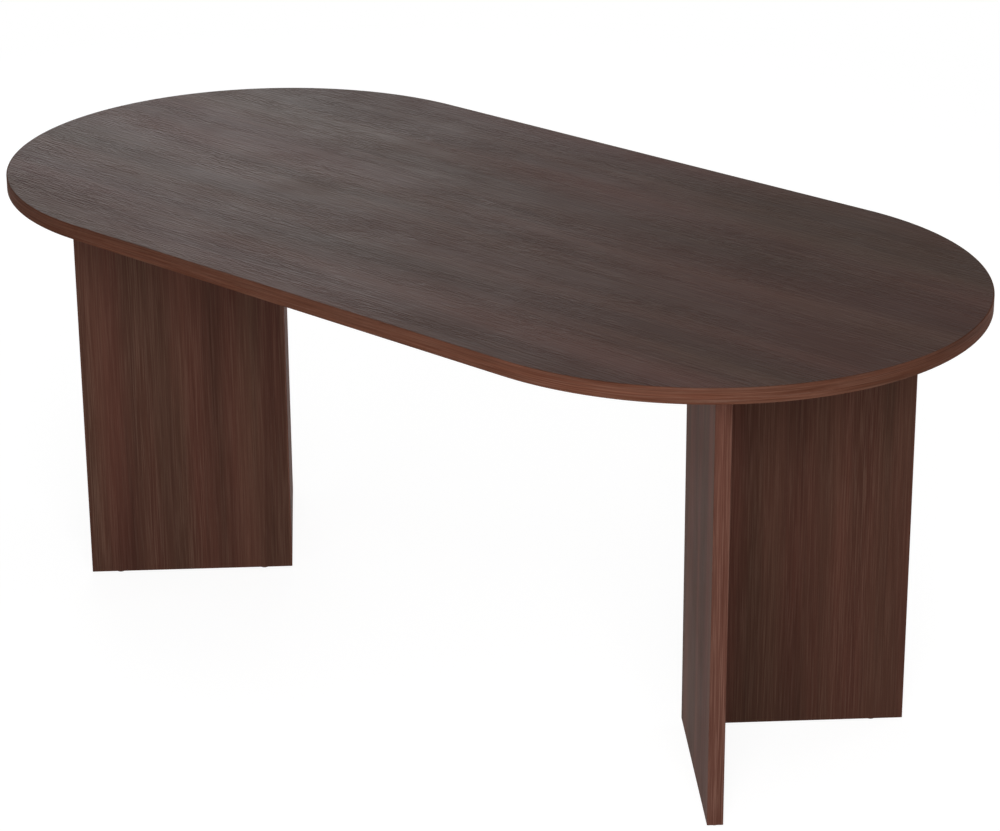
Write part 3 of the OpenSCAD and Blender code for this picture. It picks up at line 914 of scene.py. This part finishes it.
def screw_model(head, length):
    """A pan head wood screw with its crown at Z = 0 and its tip down."""
    radius = SCREW_SHANK / 2
    under = -SCREW_HEAD_HEIGHT
    outline = [(0, 0)]
    for step in range(1, CROWN_STEPS + 1):
        angle = math.radians(90 * step / CROWN_STEPS)
        outline.append((head / 2 * math.sin(angle), -SCREW_DOME * (1 - math.cos(angle))))
    outline += [(head / 2, under + SCREW_RIM), (head / 2 - SCREW_RIM, under), (radius, under)]
    shank_end = under - length + SCREW_TIP
    rings = int((under - shank_end) / SCREW_PITCH * RINGS_PER_TURN)
    outline += [(radius, under + (shank_end - under) * ring / rings) for ring in range(1, rings + 1)]
    tip_rings = int(SCREW_TIP / SCREW_PITCH * RINGS_PER_TURN)
    outline += [(radius * (1 - ring / tip_rings), shank_end - SCREW_TIP * ring / tip_rings)
                for ring in range(1, tip_rings)]
    outline.append((0, shank_end - SCREW_TIP))
    body = turned(outline, SCREW_STEPS, lambda out, angle, height: thread(out, angle, height - under))
    return shaped(body, cross_recess())


def first_screw():
    """The screw that all the others are copies of, with the sizes of the first one in the frame."""
    low, high = solids("right", "right_bracket_screws")[0]
    head, _, whole = sorted(high - low)
    return screw_model(head, whole - SCREW_HEAD_HEIGHT)


def screw_places(side):
    """Where each bracket screw's crown is and which way it faces, in the frame of the front arm."""
    places = []
    for low, high in solids(side, f"{side}_bracket_screws"):
        centre = (low + high) / 2
        size = high - low
        if is_upright((low, high)):
            places.append((Vector((centre.x, centre.y, low.z)), Vector((0, 0, -1))))
        elif size.x > size.y:
            places.append((Vector((high.x, centre.y, centre.z)), Vector((1, 0, 0))))
        else:
            places.append((Vector((centre.x, high.y, centre.z)), Vector((0, 1, 0))))
    return places


def make_brackets(side, bracket, screw):
    """A leg's four steel angles, and their screws, each turned by its own amount."""
    for arm in ARMS:
        for place in ("inner", "outer"):
            node = f"{side}_{arm}_{place}_bracket"
            low, high = arm_box(side, arm, node)
            spot = Matrix.Translation(((low.x + high.x) / 2, low.y, high.z))
            data = placed(bracket, arm_matrix(side, arm) @ spot)
            add_piece(f"{side}_{arm}_{place}_angle", data, black_steel, node)
    screws = seated(screw, screw_places(side), arm_matrix(side, "front"), plated_steel,
                    turn=SCREW_TURN, seed=SCREW_SEED)
    add_piece(f"{side}_angle_screws", screws, plated_steel, f"{side}_bracket_screws")


# The glides, and the caps over the cam locks

def glide_model(low, high, nail):
    """A plastic disc moulded round a nail's head."""
    radius = (high.x - low.x) / 2
    height = high.z - low.z
    head_radius = (nail[1].x - nail[0].x) / 2
    sole = nail[0].z
    shoulder = sole + NAIL_HEAD_HEIGHT
    edge = arc((radius - GLIDE_ROUNDING, GLIDE_ROUNDING), GLIDE_ROUNDING, -90, 0, GLIDE_ROUNDING_STEPS)
    outline = [(0, 0)] + edge + [(radius, height - GLIDE_RIM), (radius - GLIDE_RIM, height)]
    outline += [(NAIL_RADIUS, height), (NAIL_RADIUS, shoulder), (head_radius, shoulder),
                (head_radius, sole), (0, sole)]
    return turned(outline, TURNED_STEPS)


def make_glides(side):
    """A leg's three glides."""
    nails = solids(side, f"{side}_glide_nails")
    for place in ("front_outer", "front_corner", "back_outer"):
        node = f"{side}_{place}_glide"
        low, high = arm_box(side, "front", node)
        centre = (low + high) / 2
        model = glide_model(low, high, nails[0])
        spot = Matrix.Translation((centre.x, centre.y, 0))
        data = placed(model, arm_matrix(side, "front") @ spot)
        add_piece(f"{side}_{place}_foot", data, brown_plastic, node)


def cap_model(width, depth, plug, bore):
    """A cap with a slightly domed face at Z = 0, a rounded rim, and a hollow plug below."""
    edge = width / 2 - CAP_ROUNDING
    rim = CAP_DOME + CAP_ROUNDING
    outline = [(edge * ring / CAP_STEPS, -CAP_DOME * (ring / CAP_STEPS) ** 2) for ring in range(CAP_STEPS)]
    outline += arc((edge, -rim), CAP_ROUNDING, 90, 0, CAP_STEPS)
    outline += [(plug, -rim), (plug, -depth), (bore, -depth), (bore, -rim), (0, -rim)]
    return turned(outline, TURNED_STEPS)


def plug_radii(side, node, box):
    """Outer and inner radius of a cap's plug, read at its open end."""
    to_arm = arm_matrix(side, "front").inverted()
    centre = (box[0] + box[1]) / 2
    reach = (box[1].y - box[0].y) / 2
    radii = []
    for point in [to_arm @ point for point in node_points(node)]:
        radius = math.hypot(point.y - centre.y, point.z - centre.z)
        if radius < reach and point.x > box[1].x - NEAR:
            radii.append(radius)
    return max(radii), min(radii)


def make_caps(side):
    """The caps over a leg's cam locks."""
    node = f"{side}_corner_cam_caps"
    boxes = solids(side, node)
    low, high = boxes[0]
    model = cap_model(high.y - low.y, high.x - low.x, *plug_radii(side, node, boxes[0]))
    places = []
    for low, high in boxes:
        centre = (low + high) / 2
        places.append((Vector((low.x, centre.y, centre.z)), Vector((-1, 0, 0))))
    caps = seated(model, places, arm_matrix(side, "front"), brown_plastic)
    add_piece(f"{side}_cam_covers", caps, brown_plastic, node)


# Putting the table together

make_top()
dress(particle_board, "tabletop_core")
bracket = first_bracket()
screw = first_screw()
for side in SIDES:
    make_panel_bands(side)
    make_brackets(side, bracket, screw)
    make_glides(side)
    make_caps(side)
    for arm in ARMS:
        dress(particle_board, f"{side}_{arm}_panel_core")
        dress(panel_walnut, f"{side}_{arm}_panel_outer_laminate", f"{side}_{arm}_panel_inner_laminate")
        dress(panel_band_walnut, f"{side}_{arm}_panel_foot_band")
    dress(beech, f"{side}_corner_dowels", f"{side}_top_dowels")
    dress(cast_zinc, f"{side}_corner_cams", f"{side}_corner_cam_bolts")
    dress(plated_steel, f"{side}_glide_nails")


# The studio: a pale floor, a white surround, soft lamps and the camera

WHITE = (1, 1, 1, 1)
AMBIENT = 0.12
FLOOR_HALF_SIZE = 20.0
FLOOR_PAINT = (0.60, 0.60, 0.60, 1)

# The camera sees this share of the floor's paint, with its shadow, and white light that fills it up to
# white where no shadow falls and the lamps light it to this level. From the first distance from the
# table's middle to the second, the share fades away.
LIT_SHARE = 0.40
LIT_LEVEL = 0.25
SHADOW_REACH = (1.5, 4.0)

# What the lamps are turned towards
MIDDLE = (0, 0, 0.5)
LOW_MIDDLE = (0, 0, 0.4)
LOW_RIGHT = (0.6, 0, 0.4)
TOP_LEFT = (-0.3, 0, top_high.z)
TOP_MIDDLE = (0, 0, 0.7)

# Each soft box lamp: its place, what it is turned towards, its width and height, and its watts
LAMPS = {
    "key_lamp": ((3.6, -3.4, 2.4), MIDDLE, 2.0, 2.0, 20),
    "near_lamp": ((2.4, -2.4, 1.9), MIDDLE, 1.6, 1.6, 58),
    "low_front_lamp": ((0.6, -3.2, 0.5), LOW_RIGHT, 1.6, 0.8, 22),
    "right_lamp": ((4.8, -0.5, 2.4), MIDDLE, 2.0, 2.0, 10),
    "low_left_lamp": ((-3.6, -1.2, 0.45), LOW_MIDDLE, 1.6, 0.6, 14),
    "rear_left_lamp": ((-4.2, 2.6, 1.9), TOP_LEFT, 2.6, 1.6, 32),
    "rear_lamp": ((-3.2, 2.75, 1.9), TOP_LEFT, 2.0, 1.4, 19),
    "low_back_lamp": ((1.5, 3.5, 0.4), LOW_MIDDLE, 1.6, 0.6, 45),
    "ceiling_lamp": ((0, 0, 3.6), TOP_MIDDLE, 3.0, 2.0, 8),
}

# The photograph's view, fitted to the table's outline: millimetres for the lens and its sensor, metres for
# the camera's place, and degrees for its turn
LENS = 115.4425
SENSOR_WIDTH = 36
CAMERA_PLACE = (3.328738, -3.651039, 2.412283)
CAMERA_TURN = (67.97365, 0.33902, 41.73631)
CLIP_END = 100


def background_share(tree):
    """1 for the rays that see the surround: from the camera, or mirrored or passed by the table."""
    path = add_node(tree, "ShaderNodeLightPath").outputs
    seen = math_node(tree, "MAXIMUM", path["Is Camera Ray"], path["Is Glossy Ray"])
    return math_node(tree, "MAXIMUM", seen, path["Is Transmission Ray"])


def make_world():
    """A dim surround that is seen as white."""
    world = bpy.data.worlds.new("studio")
    world.use_nodes = True
    tree = world.node_tree
    tree.nodes.clear()
    light = add_node(tree, "ShaderNodeBackground", {"Color": WHITE, "Strength": AMBIENT})
    white = add_node(tree, "ShaderNodeBackground", {"Color": WHITE, "Strength": 1.0})
    mixed = add_node(tree, "ShaderNodeMixShader", {0: background_share(tree), 1: light.outputs[0],
                                                   2: white.outputs[0]})
    add_node(tree, "ShaderNodeOutputWorld", {0: mixed.outputs[0]})
    bpy.context.scene.world = world


def floor_material():
    """Pale paint that, near the table, is seen with its soft shadow, and further out as plain white."""
    material = bpy.data.materials.new("pale_floor")
    material.use_nodes = True
    tree = material.node_tree
    tree.nodes.clear()
    away = add_node(tree, "ShaderNodeVectorMath", {0: object_place(tree)},
                    operation="LENGTH").outputs["Value"]
    lit_share = spread(tree, away, *SHADOW_REACH, LIT_SHARE, 0.0)
    rest = math_node(tree, "SUBTRACT", 1.0, math_node(tree, "MULTIPLY", lit_share, LIT_LEVEL))
    painted = add_node(tree, "ShaderNodeBsdfDiffuse", {"Color": FLOOR_PAINT})
    white = add_node(tree, "ShaderNodeEmission", {"Color": WHITE, "Strength": rest})
    lit = add_node(tree, "ShaderNodeMixShader", {0: lit_share, 2: painted.outputs[0]})
    seen = add_node(tree, "ShaderNodeAddShader", {0: white.outputs[0], 1: lit.outputs[0]})
    mixed = add_node(tree, "ShaderNodeMixShader", {0: background_share(tree), 1: painted.outputs[0],
                                                   2: seen.outputs[0]})
    add_node(tree, "ShaderNodeOutputMaterial", {0: mixed.outputs[0]})
    return material


def make_floor():
    """The floor that the table stands on."""
    mesh = bmesh.new()
    bmesh.ops.create_grid(mesh, x_segments=8, y_segments=8, size=FLOOR_HALF_SIZE)
    data = bpy.data.meshes.new("floor")
    mesh.to_mesh(data)
    mesh.free()
    data.materials.append(floor_material())
    new_object("floor", data)


def add_lamp(name, place, aim, width, height, watts):
    """A soft box lamp at place, turned towards aim."""
    light = bpy.data.lights.new(name, "AREA")
    light.shape = "RECTANGLE"
    light.size = width
    light.size_y = height
    light.energy = watts
    lamp = new_object(name, light)
    lamp.location = place
    lamp.rotation_euler = (Vector(aim) - Vector(place)).to_track_quat("-Z", "Y").to_euler()


def add_camera():
    """The camera at the photograph's viewing angle."""
    data = bpy.data.cameras.new("camera")
    data.sensor_fit = "HORIZONTAL"
    data.sensor_width = SENSOR_WIDTH
    data.lens = LENS
    data.clip_end = CLIP_END
    camera = new_object("camera", data)
    camera.location = CAMERA_PLACE
    camera.rotation_euler = [math.radians(turn) for turn in CAMERA_TURN]
    bpy.context.scene.camera = camera


make_world()
make_floor()
for name, lamp in LAMPS.items():
    add_lamp(name, *lamp)
add_camera()
bpy.context.scene.view_settings.view_transform = "Standard"
